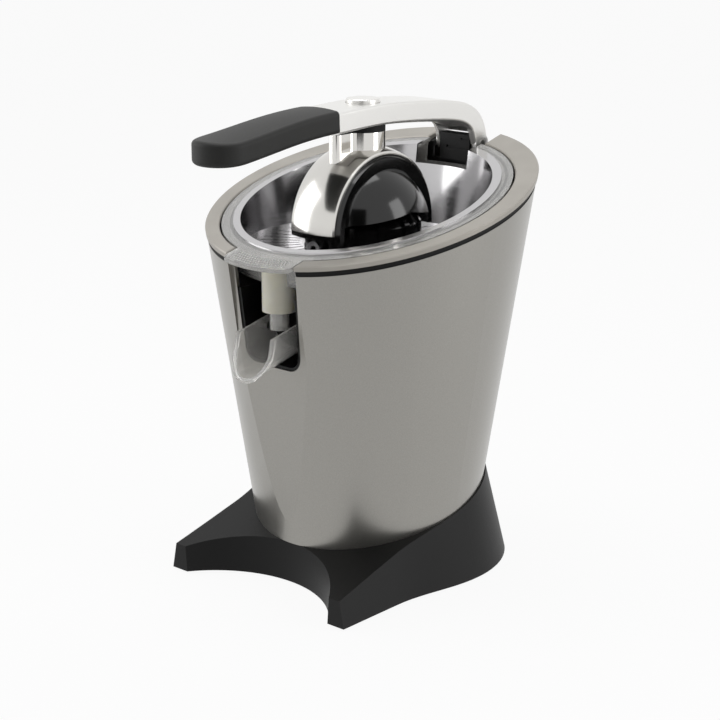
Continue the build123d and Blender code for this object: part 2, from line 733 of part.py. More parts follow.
with BuildPart() as reamer:
    revolve(reamer_profile(1.6), axis=press_axis)
    with BuildSketch(Plane.XY.offset(reamer_low_z)):
        with Locations((0, press_y)):
            with PolarLocations(reamer_r / 2, reamer_ribs):
                Rectangle(reamer_r, 4.4)
    extrude(amount=far - reamer_low_z)
    revolve(reamer_profile(0), axis=press_axis, mode=Mode.INTERSECT)
    revolve(reamer_profile(1.6 + reamer_wall), axis=press_axis, mode=Mode.SUBTRACT)
    with BuildSketch(Plane.XY.offset(reamer_low_z + 8)):
        with Locations((0, press_y)):
            Circle(7.5)
    extrude(amount=reamer_tip_z - 6.5 - reamer_low_z - 8)
    with BuildSketch(Plane.XY.offset(reamer_low_z)):
        with Locations((0, press_y)):
            Circle(shaft_r + fixed_gap)
    extrude(amount=36, mode=Mode.SUBTRACT)
write(reamer, "reamer")

with BuildPart() as drive_shaft:
    with BuildSketch(Plane.XY.offset(gear_mid_z + 4)):
        with Locations((0, press_y)):
            RegularPolygon(hex_r, 6)
    extrude(amount=hub_gear_top_z + 3 - gear_mid_z - 4)
    with BuildSketch(Plane.XY.offset(hub_gear_top_z + 3)):
        with Locations((0, press_y)):
            Circle(shaft_r)
    extrude(amount=reamer_low_z + 35.5 - hub_gear_top_z - 3)
    with BuildSketch(Plane.XY.offset(carriage_low_z - 1.3)):
        with Locations((0, press_y)):
            Circle(shaft_r + 0.2)
            Circle(shaft_r - 0.8, mode=Mode.SUBTRACT)
    extrude(amount=1.0, mode=Mode.SUBTRACT)
write(drive_shaft, "drive_shaft")

with BuildPart() as shaft_circlip:
    with BuildSketch(Plane.XY.offset(carriage_low_z - 1.2)):
        with Locations((0, press_y)):
            Circle(shaft_r + 2)
            Circle(shaft_r - 0.7, mode=Mode.SUBTRACT)
    extrude(amount=0.8)
    with BuildSketch(Plane.XY.offset(carriage_low_z - 1.3)):
        with Locations((shaft_r, press_y)):
            Rectangle(6, 3)
    extrude(amount=1.0, mode=Mode.SUBTRACT)
write(shaft_circlip, "shaft_circlip")

with BuildPart() as thrust_carriage:
    with BuildSketch(Plane.XY.offset(carriage_low_z)):
        with Locations((0, press_y)):
            Circle(carriage_r - running)
    extrude(amount=carriage_top_z - carriage_low_z)
    with BuildSketch(Plane.XY.offset(carriage_low_z)):
        with Locations(((carriage_r + finger_x) / 2, press_y)):
            Rectangle(finger_x - carriage_r + 4, finger_w)
    extrude(amount=finger_top_z - carriage_low_z)
    with BuildSketch(Plane.XY.offset(carriage_low_z - 1)):
        with Locations((0, press_y)):
            Circle(shaft_r + running)
    extrude(amount=carriage_top_z - carriage_low_z + 2, mode=Mode.SUBTRACT)
write(thrust_carriage, "thrust_carriage")

spring_r = 8.6
spring_wire = 0.75
spring_turns = 4
spring_low_z = hub_low_z + plug_t + spring_wire + 0.05
spring_high_z = carriage_low_z - spring_wire - 0.05
with BuildPart() as return_spring:
    with BuildLine():
        coil = Helix(pitch=(spring_high_z - spring_low_z) / spring_turns,
                     height=spring_high_z - spring_low_z, radius=spring_r,
                     center=(0, press_y, spring_low_z))
    with BuildSketch(Plane(origin=coil @ 0, z_dir=coil % 0)):
        RegularPolygon(spring_wire, 6)
    sweep(is_frenet=True)
write(return_spring, "return_spring")

# ------------------------------------------------------------------ press switch
switch_x = finger_x - 1.5
plunger_r = 1.5
plunger_low_z = 176.0
with BuildPart() as switch_plunger:
    with BuildSketch(Plane.XY.offset(plunger_low_z)):
        with Locations((switch_x, press_y)):
            Circle(plunger_r)
    extrude(amount=carriage_low_z - seat_gap - plunger_low_z)
write(switch_plunger, "switch_plunger")

with BuildPart() as micro_switch:
    with BuildSketch(Plane.XY.offset(167.0)):
        with Locations((switch_x + 2, press_y)):
            Rectangle(9, 18)
    extrude(amount=15.5)
    with BuildSketch(Plane.XY.offset(plunger_low_z - press_travel - 1)):
        with Locations((switch_x, press_y)):
            Circle(plunger_r + running)
    extrude(amount=20, mode=Mode.SUBTRACT)
    with BuildSketch(Plane.XY.offset(167.0)):
        with Locations((switch_x + 6.4, press_y)):
            Rectangle(0.6, 10)
    extrude(amount=10)
write(micro_switch, "micro_switch")

# ------------------------------------------------------------------ gears
output_y = press_y
idler_y = output_y + gear_module * (output_teeth + pinion_teeth) / 2
motor_y = idler_y - gear_module * (idler_teeth + pinion_teeth) / 2


def gear_outline(teeth, centre_y, first_tooth):
    """Plan of a spur gear with straight flanks, one tooth centred on the angle first_tooth."""
    pitch_r = gear_module * teeth / 2
    root_r = pitch_r - 1.25 * gear_module
    tip_r = pitch_r + 0.9 * gear_module
    pitch = 360 / teeth
    corners = []
    for k in range(teeth):
        for radius, share in ((root_r, -0.29), (tip_r, -0.11), (tip_r, 0.11), (root_r, 0.29)):
            angle = radians(first_tooth + (k + share) * pitch)
            corners.append((radius * cos(angle), centre_y + radius * sin(angle)))
    with BuildSketch() as outline:
        with BuildLine():
            Polyline(*corners, close=True)
        make_face()
    return outline.sketch


def gear(teeth, centre_y, first_tooth, low, high):
    """Add a spur gear between two heights to the part being built."""
    extrude(gear_outline(teeth, centre_y, first_tooth).moved(Pos(0, 0, low)), amount=high - low)


axle_r = 3.0
with BuildPart() as output_gear:
    gear(output_teeth, output_y, 90, gear_mid_z + 0.6, gear_top_z)
    with BuildSketch(Plane.XY.offset(gear_top_z)):
        with Locations((0, output_y)):
            Circle(8.5)
    extrude(amount=hub_gear_top_z - gear_top_z)
    with BuildSketch(Plane.XY.offset(gear_mid_z)):
        with Locations((0, output_y)):
            RegularPolygon(hex_r + hex_play, 6)
    extrude(amount=hub_gear_top_z - gear_mid_z + 1, mode=Mode.SUBTRACT)
write(output_gear, "output_gear")

with BuildPart() as idler_gear:
    gear(idler_teeth, idler_y, -90, gear_low_z, gear_mid_z - 0.6)
    gear(pinion_teeth, idler_y, -90 + 180 / pinion_teeth, gear_mid_z - 0.6, gear_top_z + 1)
    with BuildSketch(Plane.XY.offset(gear_low_z - 1)):
        with Locations((0, idler_y)):
            Circle(axle_r + running)
    extrude(amount=30, mode=Mode.SUBTRACT)
write(idler_gear, "idler_gear")

plate_low_z = 128.0
cover_low_z = 160.0
motor_r = 36.0
motor_low_z = 66.0
with BuildPart() as motor_rotor:
    gear(pinion_teeth, motor_y, 90 + 180 / pinion_teeth, gear_low_z, gear_mid_z - 0.6)
    with BuildSketch(Plane.XY.offset(motor_low_z + 0.5)):
        with Locations((0, motor_y)):
            Circle(axle_r)
    extrude(amount=gear_low_z - motor_low_z - 0.5)
    with BuildSketch(Plane.XY.offset(motor_low_z + 14)):
        with Locations((0, motor_y)):
            Circle(21)
    extrude(amount=32)
write(motor_rotor, "motor_rotor")

with BuildPart() as motor_stator:
    with BuildSketch(Plane.XY.offset(motor_low_z)):
        with Locations((0, motor_y)):
            Circle(motor_r)
    extrude(amount=plate_low_z - seat_gap - motor_low_z)
    with BuildSketch(Plane.XY.offset(motor_low_z + 2)):
        with Locations((0, motor_y)):
            Circle(motor_r - 2)
    extrude(amount=plate_low_z - seat_gap - motor_low_z - 4, mode=Mode.SUBTRACT)
    with BuildSketch(Plane.XY.offset(motor_low_z + 14)):
        with Locations((0, motor_y)):
            Circle(motor_r - 1)
            Circle(21.6, mode=Mode.SUBTRACT)
    extrude(amount=32)
    with BuildSketch(Plane.XY.offset(motor_low_z - 1)):
        with Locations((0, motor_y)):
            Circle(axle_r + running)
    extrude(amount=far, mode=Mode.SUBTRACT)
write(motor_stator, "motor_stator")

with BuildPart() as gearbox_base:
    with BuildSketch(Plane.XY.offset(plate_low_z)):
        with Locations((0, gearbox_cy)):
            Circle(gearbox_r)
        with Locations((0, motor_y)):
            Circle(axle_r + 0.5, mode=Mode.SUBTRACT)
        with Locations((0, idler_y)):
            Circle(axle_r + fixed_gap, mode=Mode.SUBTRACT)
        with Locations(gear_posts):
            Circle(gearbox_screw_r + fixed_gap, mode=Mode.SUBTRACT)
    extrude(amount=3)
write(gearbox_base, "gearbox_base")

with BuildPart() as gearbox_cover:
    with BuildSketch(Plane.XY.offset(plate_low_z + 3 + seat_gap)):
        with Locations((0, gearbox_cy)):
            Circle(gearbox_r)
    extrude(amount=gearbox_top_z - plate_low_z - 3 - seat_gap)
    with BuildSketch(Plane.XY.offset(plate_low_z)):
        with Locations((0, gearbox_cy)):
            Circle(gearbox_r - 2)
        with Locations(gear_posts):
            Circle(4.5, mode=Mode.SUBTRACT)
    extrude(amount=cover_low_z - plate_low_z, mode=Mode.SUBTRACT)
    with BuildSketch(Plane.XY.offset(plate_low_z)):
        with Locations((0, output_y)):
            Circle(8.5 + running)
        with Locations((0, idler_y)):
            Circle(axle_r + fixed_gap)
        with Locations(gear_posts):
            Circle(gearbox_screw_r + fixed_gap)
    extrude(amount=gearbox_top_z - plate_low_z + 1, mode=Mode.SUBTRACT)
write(gearbox_cover, "gearbox_cover")

with BuildPart() as idler_axle:
    with BuildSketch(Plane.XY.offset(plate_low_z)):
        with Locations((0, idler_y)):
            Circle(axle_r)
    extrude(amount=gearbox_top_z - plate_low_z)
write(idler_axle, "idler_axle")

with BuildPart() as gearbox_screws:
    with BuildSketch(Plane.XY.offset(plate_low_z - 2.5)):
        with Locations(gear_posts):
            Circle(4)
    extrude(amount=2.4)
    with BuildSketch(Plane.XY.offset(plate_low_z - 0.2)):
        with Locations(gear_posts):
            Circle(gearbox_screw_r - fixed_gap)
    extrude(amount=gearbox_top_z + 14 - plate_low_z)
write(gearbox_screws, "gearbox_screws")

# ------------------------------------------------------------------ hinge tower and pin
with BuildPart() as hinge_tower:
    extrude(side_face([(tower_front_y, 262.3), (pin_y, 262.3), (pin_y, pin_z + boss_r),
                       (tower_front_y, pin_z + boss_r)]),
            amount=tower_half, both=True)
    with BuildSketch(Plane.YZ.offset(-tower_half)):
        with Locations((pin_y, pin_z)):
            Circle(boss_r)
    extrude(amount=2 * tower_half)
    extrude(side_face([(well_r + well_wall + 0.2, 238), (pin_y + 2.7, 238), (pin_y + 2.7, pin_z), (pin_y - 4, pin_z),
                       (pin_y - 4, 262.3), (well_r + well_wall + 0.2, 262.3)]),
            amount=tower_half, both=True)
    with BuildSketch(Plane.YZ.offset(-tower_half - 1)):
        with Locations((pin_y, pin_z)):
            Circle(pin_r + fixed_gap)
    extrude(amount=2 * tower_half + 2, mode=Mode.SUBTRACT)
    with BuildSketch(Plane.XZ.offset(-tower_front_y)):
        with Locations((2.5, 271.5)):
            Rectangle(19, 1.8)
        with Locations((9, 277.6)):
            Rectangle(7, 1.2)
    extrude(amount=-0.8, mode=Mode.SUBTRACT)
write(hinge_tower, "hinge_tower")

with BuildPart() as hinge_pin:
    with BuildSketch(Plane.YZ.offset(-arm_half - 0.4)):
        with Locations((pin_y, pin_z)):
            Circle(pin_r)
    extrude(amount=2 * arm_half + 0.8)
write(hinge_pin, "hinge_pin")

# ------------------------------------------------------------------ press dome and neck
rib_r = dome_r - dome_sheet - fixed_gap
rib_lip = 3.6           # thickness of the rib's lip below the cup
cup_rim_z = 245.0       # lower edge of the cup at its sides
cup_rim_fall = tan(radians(9.6))
stud_r = 6.0            # stud of the neck through the top of the dome


def dome_section(outer, inner, low):
    """Half section of a spherical shell above a level measured from the dome's centre."""
    with BuildSketch(Plane.XZ.offset(-press_y)) as half:
        with BuildLine():
            outer_start = (sqrt(outer ** 2 - low ** 2), dome_z + low)
            inner_start = (sqrt(inner ** 2 - low ** 2), dome_z + low)
            ThreePointArc(outer_start, (outer * cos(pi / 4), dome_z + outer * sin(pi / 4)), (0, dome_z + outer))
            Line((0, dome_z + outer), (0, dome_z + inner))
            ThreePointArc((0, dome_z + inner), (inner * cos(pi / 4), dome_z + inner * sin(pi / 4)), inner_start)
            Line(inner_start, outer_start)
        make_face()
    return half.sketch


def ball_section(radius):
    """Half disc about the dome's centre."""
    with BuildSketch(Plane.XZ.offset(-press_y)) as half:
        with BuildLine():
            ThreePointArc((0, dome_z - radius), (radius, dome_z), (0, dome_z + radius))
            Line((0, dome_z + radius), (0, dome_z - radius))
        make_face()
    return half.sketch


def keep_band(half):
    """Cut the part being built to a band that runs from front to back."""
    with Locations((0, press_y, dome_z)):
        Box(2 * half, far, far, mode=Mode.INTERSECT)


def bore_stud(clearance):
    """Hole for the neck's stud through the top of the part being built."""
    with BuildSketch(Plane.XY.offset(dome_z)) as hole:
        with Locations((0, press_y)):
            Circle(stud_r + clearance)
    extrude(hole.sketch, amount=far, mode=Mode.SUBTRACT)


with BuildPart() as dome_cover:
    revolve(dome_section(dome_r, dome_r - dome_sheet, 1), axis=press_axis)
    keep_band(dome_half)
    chamfer(dome_cover.faces().filter_by(Axis.X).edges().filter_by(GeomType.CIRCLE)
            .filter_by(lambda edge: edge.radius > dome_r - dome_half), 0.8)
    bore_stud(0.2)
write(dome_cover, "dome_cover")

below_cup = side_face([(press_y - far, cup_rim_z - cup_rim_fall * far), (press_y, cup_rim_z),
                       (press_y + far, cup_rim_z - cup_rim_fall * far), (press_y + far, -far),
                       (press_y - far, -far)])
with BuildPart() as below_rib:
    revolve(ball_section(rib_r - rib_lip), axis=press_axis)
    extrude(below_cup, amount=far, both=True, mode=Mode.INTERSECT)

with BuildPart() as cup_shell:
    revolve(dome_section(cup_r, cup_r - cup_wall, -15), axis=press_axis)
    extrude(below_cup, amount=far, both=True, mode=Mode.SUBTRACT)

with BuildPart() as press_cup:
    revolve(dome_section(rib_r, cup_r - cup_wall / 2, cup_low_z - dome_z), axis=press_axis)
    keep_band(rib_half)
    add(below_rib.part, mode=Mode.SUBTRACT)
    add(cup_shell.part)
    bore_stud(fixed_gap)
write(press_cup, "press_cup")


def neck_outline():
    """Plan of the neck: a round post with a narrow column in front, concave flutes between."""
    with BuildSketch(Plane.XY) as outline:
        with Locations((0, press_y)):
            Circle(neck_r)
        with Locations((0, press_y - 15)):
            Rectangle(9.6, 30)
        fillet(outline.vertices().group_by(Axis.Y)[0], 4)
        fillet(outline.vertices().group_by(Axis.Y)[-1], 6)
    return outline.sketch


# ------------------------------------------------------------------ lever
def bar_section(spot, along, half, thick):
    """Section of the lever square to its run: flat below, sides upright, top crowned."""
    with BuildSketch(Plane(origin=(0, spot[0], spot[1]), x_dir=(1, 0, 0),
                           z_dir=(0, along[0], along[1]))) as section:
        with BuildLine():
            Line((-half, thick / 2), (-half, -thick / 2))
            Line((-half, -thick / 2), (half, -thick / 2))
            Line((half, -thick / 2), (half, thick / 2))
            ThreePointArc((half, thick / 2), (0, thick / 2 + arm_crown), (-half, thick / 2))
        make_face()
        fillet(section.vertices(), 1.5)
    return section.sketch


arm_start = (grip_joint_y + 0.3, 304.1)
with BuildPart() as arm_bar:
    with BuildLine(Plane.YZ):
        Spline(arm_start, (-3, 305.7), (40, 303.6), (pin_y - 30.5, 300.4), (pin_y - 15.5, 296.6),
               (pin_y - 5.3, 289.2), (pin_y - 0.1, 276.5),
               tangents=[(1, 0.05), (0.3, -1)])
    add(bar_section(arm_start, (1, 0.05), arm_half, arm_t))
    sweep()

button_pocket_z = button_top_z - button_h - button_travel - 0.5
with BuildPart() as lever_arm:
    add(arm_bar.part)
    with BuildSketch(Plane.YZ.offset(-arm_half)):
        with Locations((pin_y, pin_z)):
            Circle(tail_r)
    extrude(amount=2 * arm_half)
    # hollow of the tail: open in front, below and over the tower, closed by a rear wall
    extrude(side_face([(pin_y - 16.5, 255), (pin_y - 16.5, 291.5), (pin_y - 12.5, 291.5), (pin_y - 4, 285.5),
                       (pin_y + 2.2, pin_z + boss_r + 0.4),
                       (far, pin_z + boss_r + 0.4), (far, 255)]),
            amount=tower_half + 0.5, both=True, mode=Mode.SUBTRACT)
    # pocket of the button and tongue that carries the grip
    with BuildSketch(Plane.XY.offset(button_pocket_z)):
        with Locations((0, press_y)):
            Circle(button_r + 0.3)
    extrude(amount=30, mode=Mode.SUBTRACT)
    extrude(side_face([(grip_joint_y + 2, 300.5), (-104, 297.5), (-104, 301.5), (grip_joint_y + 2, 306)]),
            amount=11, both=True)
    with BuildSketch(Plane.YZ.offset(-arm_half - 1)):
        with Locations((pin_y, pin_z)):
            Circle(pin_r + running)
    extrude(amount=2 * arm_half + 2, mode=Mode.SUBTRACT)
write(lever_arm, "lever_arm")

grip_start = (grip_joint_y, 304.1)
with BuildPart() as lever_grip:
    with BuildLine(Plane.YZ):
        Spline(grip_start, (-78, 302.0), (-112, 297.6), (-134, 294.9), (grip_end_y - 2, 294.0),
               tangents=[(-1, -0.03), (-1, 0)])
    add(bar_section(grip_start, (-1, -0.03), grip_half + 5, grip_t))
    sweep()
    # plan: a little wider towards the hand, with a round end
    with BuildSketch(Plane.XY.offset(250)):
        with BuildLine():
            Line((grip_joint_half, grip_joint_y + 1), (grip_half, grip_end_y + grip_half))
            ThreePointArc((grip_half, grip_end_y + grip_half), (0, grip_end_y), (-grip_half, grip_end_y + grip_half))
            Line((-grip_half, grip_end_y + grip_half), (-grip_joint_half, grip_joint_y + 1))
            Line((-grip_joint_half, grip_joint_y + 1), (grip_joint_half, grip_joint_y + 1))
        make_face()
    extrude(amount=100, mode=Mode.INTERSECT)
    fillet(lever_grip.edges().filter_by(lambda edge: edge.center().Y < grip_joint_y - 3), grip_round)
    extrude(side_face([(grip_joint_y + 2, 300.5 - fixed_gap), (-104.2, 297.5 - fixed_gap),
                       (-104.2, 301.5 + fixed_gap), (grip_joint_y + 2, 306 + fixed_gap)]),
            amount=11 + fixed_gap, both=True, mode=Mode.SUBTRACT)
write(lever_grip, "lever_grip")

with BuildPart() as release_button:
    with BuildSketch(Plane.XY.offset(button_top_z - button_h)):
        with Locations((0, press_y)):
            Circle(button_r)
    extrude(amount=button_h)
    fillet(release_button.faces().sort_by(Axis.Z)[-1].edges(), 1.2)
write(release_button, "release_button")

with BuildPart() as neck:
    extrude(neck_outline().moved(Pos(0, 0, dome_z + 38)), amount=neck_top_z - dome_z - 38)
    revolve(ball_section(dome_r + fixed_gap), axis=press_axis, mode=Mode.SUBTRACT)
    with BuildSketch(Plane.XY.offset(dome_z + cup_r - 2)):
        with Locations((0, press_y)):
            Circle(stud_r)
    extrude(amount=neck_top_z - dome_z - cup_r)
write(neck, "neck")

with BuildPart() as neck_pad:
    extrude(neck_outline().moved(Pos(0, 0, neck_top_z)), amount=10)
    add(arm_bar.part, mode=Mode.SUBTRACT)
write(neck_pad, "neck_pad")
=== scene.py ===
"""Looks of the lever citrus press, in metres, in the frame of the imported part."""

from math import cos, pi, sin, sqrt

import bmesh
import bpy
from mathutils import Matrix, Vector


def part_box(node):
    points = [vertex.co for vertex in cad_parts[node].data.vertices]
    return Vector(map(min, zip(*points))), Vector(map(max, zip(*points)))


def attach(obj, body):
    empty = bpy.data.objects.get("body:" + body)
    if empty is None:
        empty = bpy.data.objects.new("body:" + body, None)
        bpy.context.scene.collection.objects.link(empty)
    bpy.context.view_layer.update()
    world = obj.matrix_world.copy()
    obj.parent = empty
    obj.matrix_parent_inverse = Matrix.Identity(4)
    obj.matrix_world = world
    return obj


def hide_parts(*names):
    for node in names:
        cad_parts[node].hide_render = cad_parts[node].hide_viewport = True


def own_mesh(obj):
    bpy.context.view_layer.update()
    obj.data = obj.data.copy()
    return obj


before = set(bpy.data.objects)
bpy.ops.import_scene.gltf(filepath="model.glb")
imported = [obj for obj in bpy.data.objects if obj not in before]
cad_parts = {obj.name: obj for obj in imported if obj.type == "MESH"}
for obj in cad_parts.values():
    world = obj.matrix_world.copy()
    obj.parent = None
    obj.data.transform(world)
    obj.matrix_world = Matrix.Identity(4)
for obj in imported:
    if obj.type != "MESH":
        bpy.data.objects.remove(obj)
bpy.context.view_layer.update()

MM = 0.001

LIP_R = 109.5 * MM            # radius of the tray's thumb lip, from the machine's axis
LIP_HALF = 24 * MM            # half the width of that lip
DOT_R = 0.62 * MM             # radius of a moulded pimple
DOT_HEIGHT = 0.6              # height of a pimple, as a share of its radius
DOT_PITCH = 2.3 * MM          # from pimple to pimple along a row
DOT_ROWS = 5
ROW_PITCH = 2.1 * MM          # from row to row
FIRST_ROW_IN = 2.6 * MM       # from the lip's edge to the first row
DOT_EDGE = 1.5 * MM           # bare margin at the two ends of a row
FLAT_ENOUGH = 0.8             # upward part of the normal that a seat for a pimple needs
DROP_FROM = 0.5               # height, clear of the machine, from which a seat is looked for

WIRE_R = 0.75 * MM            # radius of the return spring's wire
COILS = 4
STEPS_PER_COIL = 36
WIRE_SIDES = 12

WHITE_SHARE = 0.93            # share of the white background in the floor; the rest holds the shadow
WORLD_LIGHT = 0.34            # strength at which the world lights the object
FLOOR_Z = -1.55 * MM          # just under the rubber feet
FLOOR_WIDTH = 60


# ---------------------------------------------------------------- colours, nodes and finishes
def linear(code):
    """Scene-linear colour of an sRGB hex code."""
    values = [int(code[k:k + 2], 16) / 255 for k in (1, 3, 5)]
    return tuple(v / 12.92 if v <= 0.04045 else ((v + 0.055) / 1.055) ** 2.4 for v in values) + (1.0,)


def add(tree, kind, links=(), **settings):
    """Add a node: settings are its properties or its inputs by name, and links feed its inputs."""
    made = tree.nodes.new("ShaderNode" + kind)
    for key, value in settings.items():
        if hasattr(made, key):
            setattr(made, key, value)
        else:
            made.inputs[key.replace("_", " ")].default_value = value
    for socket, source in dict(links).items():
        tree.links.new(source, made.inputs[socket])
    return made


def surface(name, base, **settings):
    """New material: a principled shader with its base colour and its plain settings."""
    made = bpy.data.materials.new(name)
    made.use_nodes = True
    made.diffuse_color = linear(base)
    shader = made.node_tree.nodes["Principled BSDF"]
    shader.inputs["Base Color"].default_value = linear(base)
    for key, value in settings.items():
        shader.inputs[key.replace("_", " ")].default_value = value
    return made


def finish(material, per_mm, detail, rough, stretch=(1, 1, 1), sheen=None, tints=None, depth_mm=None, relief=1.0):
    """Unevenness that the maker's process leaves: per_mm features lie in a millimetre of the real surface,
    stretched along the axes. It varies the roughness over sheen and the colour between two tints, and stands
    depth_mm high."""
    tree = material.node_tree
    shader = tree.nodes["Principled BSDF"]
    place = add(tree, "TexCoord")
    mapping = add(tree, "Mapping", {"Vector": place.outputs["Object"]}, Scale=stretch)
    source = add(tree, "TexNoise", {"Vector": mapping.outputs["Vector"]},
                 Scale=per_mm / MM, Detail=detail, Roughness=rough).outputs["Fac"]
    if tints:
        ramp = add(tree, "ValToRGB", {"Fac": source})
        for element, position, tint in zip(ramp.color_ramp.elements, (0.3, 0.7), tints):
            element.position = position
            element.color = linear(tint)
        tree.links.new(ramp.outputs["Color"], shader.inputs["Base Color"])
    if sheen:
        spread = add(tree, "MapRange", {"Value": source}, To_Min=sheen[0], To_Max=sheen[1])
        tree.links.new(spread.outputs["Result"], shader.inputs["Roughness"])
    if depth_mm:
        bump = add(tree, "Bump", {"Height": source}, Distance=depth_mm * MM, Strength=relief)
        tree.links.new(bump.outputs["Normal"], shader.inputs["Normal"])


# ---------------------------------------------------------------- materials
def body_steel():
    """Steel shell sprayed with a warm-grey metallic lacquer: a fine sparkle under a satin clear coat. The real
    flake, some 0.05 mm across, is drawn coarser so that it shows."""
    made = surface("lacquered_body_steel", "#95938e", Metallic=0.95, Roughness=0.32,
                   Coat_Weight=0.25, Coat_Roughness=0.18)
    finish(made, 2.6, 2, 0.5, sheen=(0.29, 0.36), tints=("#8f8d88", "#9c9a95"), depth_mm=0.004)
    return made


def collar_metal():
    """Cast collar, bead blasted and lacquered warm grey: an even matt bloom. The pits of the real beads, some
    0.1 mm across, are drawn coarser so that they show."""
    made = surface("blasted_collar_metal", "#a29e97", Metallic=0.6, Roughness=0.4)
    finish(made, 0.03, 2, 0.55, tints=("#9d9992", "#a7a39c"))
    finish(made, 2.2, 2, 0.5, sheen=(0.36, 0.5), depth_mm=0.01)
    return made


def black_moulding(name, base, rough, grain_mm, depth_mm):
    """Injection-moulded black ABS: the pits of its spark-eroded texture swallow part of the sheen."""
    made = surface(name, base, Roughness=rough, IOR=1.53, Specular_IOR_Level=0.2)
    finish(made, 1 / grain_mm, 2, 0.5, sheen=(rough - 0.06, rough + 0.08), depth_mm=depth_mm, relief=0.5)
    return made


def gloss_black():
    """Black ABS from a polished mould, for the reamer and the press cup: wide flow marks in a mirror gloss."""
    made = surface("gloss_black_abs", "#0b0b0b", Roughness=0.11, IOR=1.53)
    finish(made, 0.04, 1, 0.4, sheen=(0.09, 0.16))
    return made


def rubber(name, base):
    """Moulded nitrile rubber: matt, with a faint dusty bloom."""
    made = surface(name, base, Roughness=0.75, IOR=1.52, Specular_IOR_Level=0.25)
    finish(made, 0.3, 4, 0.6, tints=(base, "#161615"), depth_mm=0.02, relief=0.4)
    return made


def chrome():
    """Polished chrome plate over a die casting: a mirror with orange peel far below a millimetre high."""
    made = surface("polished_chrome", "#d8d6d2", Metallic=1.0, Roughness=0.06)
    finish(made, 0.12, 2, 0.5, sheen=(0.04, 0.09), depth_mm=0.004)
    return made


def dome_steel():
    """Pressed stainless dome cover, buffed to a soft mirror."""
    made = surface("buffed_dome_steel", "#d2d0cc", Metallic=1.0, Roughness=0.16)
    finish(made, 0.2, 3, 0.5, sheen=(0.12, 0.2), depth_mm=0.006)
    return made


def bowl_steel():
    """Deep-drawn stainless sheet: mirror walls with faint drawing marks round the axis."""
    made = surface("drawn_bowl_steel", "#bdbcbd", Metallic=1.0, Roughness=0.16)
    finish(made, 0.5, 3, 0.6, (0.1, 0.1, 1), sheen=(0.1, 0.2), depth_mm=0.006)
    return made


def arm_aluminium():
    """Die-cast aluminium lever, satin plated: a fine grain along the lever. The real grain, some 0.1 mm wide,
    is drawn coarser so that it shows."""
    made = surface("satin_arm_aluminium", "#e2e1de", Metallic=0.72, Roughness=0.3)
    finish(made, 1.5, 3, 0.6, (1, 0.06, 1), sheen=(0.25, 0.36), depth_mm=0.008)
    return made


def grip_rubber():
    """Soft-touch thermoplastic moulded over the grip: dark warm grey with a velvet sheen."""
    made = surface("soft_touch_grip", "#242423", Roughness=0.6, IOR=1.5, Specular_IOR_Level=0.25)
    finish(made, 0.025, 2, 0.55, tints=("#212120", "#272726"))
    finish(made, 1.6, 2, 0.5, sheen=(0.48, 0.62), depth_mm=0.015, relief=0.5)
    return made


def clear_plastic(name, base, rough, clearness):
    """Clear moulded copolyester: a see-through shell with a faint body tint and wide flow marks."""
    made = surface(name, base, Roughness=rough, IOR=1.55, Transmission_Weight=clearness)
    finish(made, 0.09, 2, 0.5, sheen=(rough * 0.7, rough * 1.4))
    return made


def milky_plastic():
    """Natural moulded polypropylene: milky, because light scatters inside the wall."""
    made = surface("milky_polypropylene", "#dddbd1", Roughness=0.35, IOR=1.49,
                   Subsurface_Weight=0.6, Subsurface_Radius=(0.004, 0.0035, 0.002))
    finish(made, 0.06, 2, 0.55, tints=("#d9d6c6", "#e2e0d8"))
    return made


def machined_steel():
    """Turned mild steel, zinc plated: a dull mirror with tool marks."""
    made = surface("zinc_plated_steel", "#b4b4b0", Metallic=1.0, Roughness=0.3)
    finish(made, 1.2, 2, 0.5, sheen=(0.24, 0.38), depth_mm=0.005)
    return made


def natural_plastic(name, base):
    """Undyed moulded acetal or polyamide of the hidden drive: off-white with a soft sheen."""
    made = surface(name, base, Roughness=0.45, IOR=1.48)
    finish(made, 0.08, 2, 0.55, tints=(base, "#d8d6ca"))
    return made


LOOKS = {
    "body_metal": body_steel(),
    "collar_metal": collar_metal(),
    "stand_black": black_moulding("satin_black_stand", "#080808", 0.48, 0.7, 0.012),
    "chassis_plastic": black_moulding("black_chassis_abs", "#050505", 0.42, 0.8, 0.01),
    "joint_black": black_moulding("matt_black_joint", "#070707", 0.6, 0.6, 0.01),
    "gloss_black": gloss_black(),
    "foot_rubber": rubber("foot_rubber", "#0c0c0c"),
    "screw_steel": machined_steel(),
    "motor_steel": machined_steel(),
    "polished_chrome": chrome(),
    "bowl_steel": bowl_steel(),
    "arm_aluminium": arm_aluminium(),
    "grip_plastic": grip_rubber(),
    "clear_tray": clear_plastic("clear_tray_plastic", "#f1f0ed", 0.07, 0.76),
    "milky_outlet": milky_plastic(),
    "gearbox_plastic": natural_plastic("gearbox_polyamide", "#c4c2b8"),
    "gear_plastic": natural_plastic("acetal", "#dedccf"),
}

